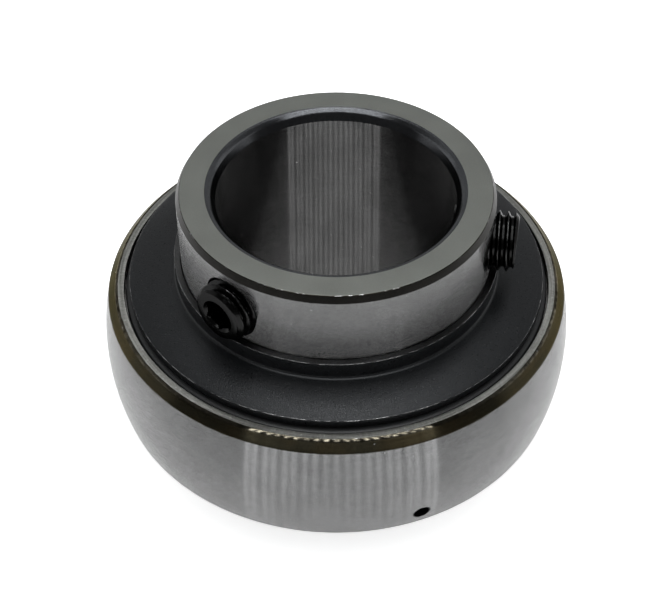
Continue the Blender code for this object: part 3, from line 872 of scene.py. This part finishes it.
def screw_piece(name, degrees, stand_out):
    """One screw as a grid of rows by turn.

    The thread's radius is the crest less a wave: with f = depth / pitch + turn / 360, the wave is flat
    for an eighth of a pitch at the crest, falls to the root at 60 degrees and is flat for a quarter.
    The ends cut it with cones: radius <= end radius + distance from the end.
    The hexagon's radius is half the flats / cos(turn from the middle of its flat).
    """
    turn = np.linspace(0, 2 * math.pi, SCREW_COLUMNS, endpoint=False)[None, :]
    from_flat = (turn + math.pi / 6) % (math.pi / 3) - math.pi / 6
    hexagon = FLATS / 2 / np.cos(from_flat)
    depth = np.arange(0.05, SCREW_LENGTH - 0.02, PITCH / ROWS_PER_PITCH)[:, None]
    phase = (depth / PITCH + turn / (2 * math.pi)) % 1.0
    from_crest = np.abs(phase - 0.5) * 2
    fall = np.clip((from_crest - CREST_FLAT) / (ROOT_START - CREST_FLAT), 0, 1)
    outer_end = SCREW_R - END_CONE + depth
    point_end = POINT_R + (SCREW_LENGTH - depth)
    thread = np.minimum(np.minimum(SCREW_R - THREAD_DEPTH * fall, outer_end), point_end)
    flat = 0 * turn
    rows = [
        (flat, flat + SOCKET_DEPTH + 0.35), (hexagon * 0.5, flat + SOCKET_DEPTH + 0.18),
        (hexagon * 0.98, flat + SOCKET_DEPTH),
        (hexagon, flat + SOCKET_DEPTH - 0.05), (hexagon, flat + 1.4), (hexagon, flat + 0.30),
        (np.maximum(hexagon, 1.80), flat + 0.10), (np.maximum(hexagon, 1.90), flat),
        (flat + 2.15, flat), (flat + SCREW_R - 0.54, flat), (flat + SCREW_R - 0.51, flat + 0.012),
    ]
    rows += [(thread[k:k + 1], flat + depth[k, 0]) for k in range(len(depth))]
    rows += [
        (flat + POINT_R, flat + SCREW_LENGTH), (flat + 1.5, flat + SCREW_LENGTH),
        (flat + 0.8, flat + SCREW_LENGTH - 0.3), (flat, flat + SCREW_LENGTH - 0.5),
    ]
    r = np.concatenate([row[0] for row in rows])
    s = RING_R + stand_out - np.concatenate([row[1] for row in rows])
    points = radial_points(r, s, turn + 0 * r, degrees, SCREW_Z).reshape(-1, 3)
    faces = grid_faces(len(rows), SCREW_COLUMNS, close_rows=False)
    crest = np.clip((r - CREST_MARK_R) / (SCREW_R - CREST_MARK_R), 0, 1).ravel()
    return mesh_of(
        name + "_cut", points, faces, [black_screw], np.zeros(len(faces)), sharp=32, marks={"crest": crest}
    )


for name, (degrees, stand_out) in SCREWS.items():
    screw = screw_piece(name, degrees, stand_out)
    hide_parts(name)
    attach(screw, name)

# %% [markdown]
# ## The balls and the cage
# Nine polished balls roll behind the seals, each as a grid of latitude and longitude. The cage halves,
# rivets and seal washers keep their CAD shape, which is already right, and take a pressed steel finish.

# %% Balls and cage
BALLS, BALL_ROWS, BALL_COLUMNS, BALL_R = 9, 25, 48, BALL_D / 2
BALL_RING_R = RACE_R + BALL_PLAY + BALL_R
latitude = np.linspace(-math.pi / 2, math.pi / 2, BALL_ROWS)[:, None]
longitude = np.linspace(0, 2 * math.pi, BALL_COLUMNS, endpoint=False)[None, :]
unit_ball = np.stack(np.broadcast_arrays(
    np.cos(latitude) * np.cos(longitude), np.cos(latitude) * np.sin(longitude), np.sin(latitude)
), -1).reshape(-1, 3)
ball_faces = grid_faces(BALL_ROWS, BALL_COLUMNS, close_rows=False)
for number in range(BALLS):
    angle = 2 * math.pi * number / BALLS
    centre = np.array([BALL_RING_R * math.cos(angle), BALL_RING_R * math.sin(angle), BALL_PLANE])
    ball = mesh_of(
        f"ball_{number + 1}_polished", centre + BALL_R * unit_ball, ball_faces, [ball_steel],
        np.zeros(len(ball_faces)),
    )
    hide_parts(f"ball_{number + 1}")
    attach(ball, f"ball_{number + 1}")
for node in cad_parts:
    if "rivet" in node:
        finish = rivet_steel
    elif "cage" in node or "core" in node:
        finish = strip_steel
    else:
        continue
    for slot in bpy.data.objects[node].material_slots:
        slot.material = finish

# %% [markdown]
# ## Floor
# The floor is plain and pale, and held at white where it is looked at, straight or in a reflection. The
# Light Path node picks out those rays, and the others find only the floor's own pale colour. Towards
# the front the glow is a little weaker, for the darker room there.

# %% Floor
FLOOR_HALF, FLOOR_DROP, FLOOR_POINTS = 3000.0, 0.02, 9
steps = np.linspace(-1, 1, FLOOR_POINTS)
gx, gy = np.meshgrid(steps, steps)
grid = np.stack([gx.ravel() * FLOOR_HALF, gy.ravel() * FLOOR_HALF, 0 * gx.ravel() - FLOOR_DROP], -1)
i, j = np.meshgrid(np.arange(FLOOR_POINTS - 1), np.arange(FLOOR_POINTS - 1), indexing="ij")
corner = (i * FLOOR_POINTS + j).ravel()
floor_faces = np.stack([corner, corner + 1, corner + FLOOR_POINTS + 1, corner + FLOOR_POINTS], -1)
floor_colour, floor_tree, floor_shader = finish_tree(
    "pale floor", (0.9, 0.9, 0.9, 1), 0.0, 0.85, Emission_Strength=1.0
)
grain = effect(floor_tree, grain_group, Grains_per_mm=1.0)
rays = put(floor_tree, "ShaderNodeLightPath")
seen = math_of(
    floor_tree, "MAXIMUM", rays.outputs["Is Camera Ray"],
    math_of(floor_tree, "MAXIMUM", rays.outputs["Is Glossy Ray"], rays.outputs["Is Transmission Ray"]),
)
toward_camera = (math.cos(camera_turn), math.sin(camera_turn), 0.0)
floor_place = put(floor_tree, "ShaderNodeTexCoord").outputs["Object"]
nearer = vector_of(floor_tree, "DOT_PRODUCT", floor_place, toward_camera)
glow = math_of(floor_tree, "MULTIPLY", seen, ranged(floor_tree, nearer, -0.03, 0.02, 1.0, 0.75))
feed(
    floor_tree, floor_shader, Base_Color=blend_colours(floor_tree, grain["Cloud"], grey(0.89), grey(0.91)),
    Emission_Color=scaled(floor_tree, (1.0, 1.0, 1.0), glow),
)
floor = mesh_of("floor", grid, floor_faces, [floor_colour], np.zeros(len(floor_faces)))

# %% [markdown]
# ## Lamps and room
# Two soft lamps stand at the sides. The rest is the room itself, drawn in the world: a wide panel of tube
# lamps overhead, a dark room in front and a paler wall behind. Scratched steel smears the tubes up and
# down, so each shows as one fine stripe on the bore and on the outside. A scratch that runs along t keeps
# the part of a ray that is along t. With the camera 45 degrees up, a spot on the ring at angle a from the
# camera's side therefore sees directions with side / (ahead + 0.707) = tan(a). So the tubes of the panel
# fan out along lines of equal side / (ahead + 0.74), and each lights one line of the ring.

# %% Lamps
LAMP_AWAY, LAMP_UP = 0.7, 0.22


def lamp(name, place, aim, width, height, radiance):
    """An area lamp that faces a point; its power in watts is pi x area x radiance."""
    data = bpy.data.lights.new(name, "AREA")
    data.shape, data.size, data.size_y = "RECTANGLE", width, height
    data.energy = math.pi * width * height * radiance
    thing = bpy.data.objects.new(name, data)
    bpy.context.scene.collection.objects.link(thing)
    toward = Vector(aim) - Vector(place)
    thing.matrix_world = Matrix.Translation(place) @ toward.to_track_quat("-Z", "Y").to_matrix().to_4x4()
    thing.visible_camera = False
    print(f"{name} lamp: {data.energy:.2f} W")


for name, offset, radiance in (("left", -100.0, 0.35), ("right", 100.0, 0.4)):
    turn = camera_turn + math.radians(offset)
    place = (LAMP_AWAY * math.cos(turn), LAMP_AWAY * math.sin(turn), LAMP_UP)
    lamp(name, place, aim=(0, 0, 0.02), width=0.6, height=0.4, radiance=radiance)

# %% World
FAN_AHEAD, FAN_SHIFT, HALF_SPAN, PAIRS = 0.74, 0.023, 0.442, 10
world = bpy.data.worlds.new("studio")
bpy.context.scene.world = world
world.use_nodes = True
sky = world.node_tree
background = sky.nodes["Background"]
way = put(sky, "ShaderNodeTexCoord").outputs["Generated"]
sideways = (-toward_camera[1], toward_camera[0], 0.0)
side, ahead, up = (
    vector_of(sky, "DOT_PRODUCT", way, axis) for axis in (sideways, toward_camera, (0.0, 0.0, 1.0))
)
fan = math_of(sky, "DIVIDE", side, math_of(sky, "ADD", ahead, FAN_AHEAD))
slope = math_of(sky, "SUBTRACT", fan, FAN_SHIFT)
wide = math_of(sky, "ABSOLUTE", slope)
pairs = math_of(sky, "MULTIPLY", slope, 0.5 * PAIRS / HALF_SPAN)
in_pair = math_of(sky, "SUBTRACT", math_of(sky, "FRACT", pairs), 0.5)
tube_place = ranged(sky, wide, 0.0, HALF_SPAN, 0.25, 0.2)
from_tube = math_of(
    sky, "ABSOLUTE", math_of(sky, "SUBTRACT", math_of(sky, "ABSOLUTE", in_pair), tube_place)
)
tube = ranged(sky, from_tube, 0.09, 0.15, 1.0, 0.0)
in_span = ranged(sky, wide, HALF_SPAN - 0.01, HALF_SPAN + 0.004, 1.0, 0.0)
in_length = math_of(
    sky, "MULTIPLY", ranged(sky, ahead, -0.5, -0.44), ranged(sky, ahead, 0.56, 0.64, 1.0, 0.0)
)
panel = math_of(sky, "MULTIPLY", in_span, in_length)
tubes_lit = math_of(sky, "MULTIPLY", panel, ranged(sky, tube, 0.0, 1.0, 0.1, 4.6))
far_end_brighter = math_of(sky, "MULTIPLY", tubes_lit, ranged(sky, ahead, -0.36, -0.26, 2.2, 1.0))
overhead = math_of(sky, "MULTIPLY", far_end_brighter, ranged(sky, up, 0.0, 0.1))
room = math_of(
    sky, "MULTIPLY", ranged(sky, ahead, 0.3, -0.5, 0.08, 0.4), ranged(sky, up, 0.75, 0.95, 1.0, 0.25)
)
sky.links.new(math_of(sky, "ADD", overhead, room), background.inputs["Strength"])
background.inputs["Color"].default_value = (0.98, 0.99, 1.0, 1.0)
bpy.context.scene.view_settings.view_transform = "Standard"
print(f"panel of {2 * PAIRS} tubes overhead")
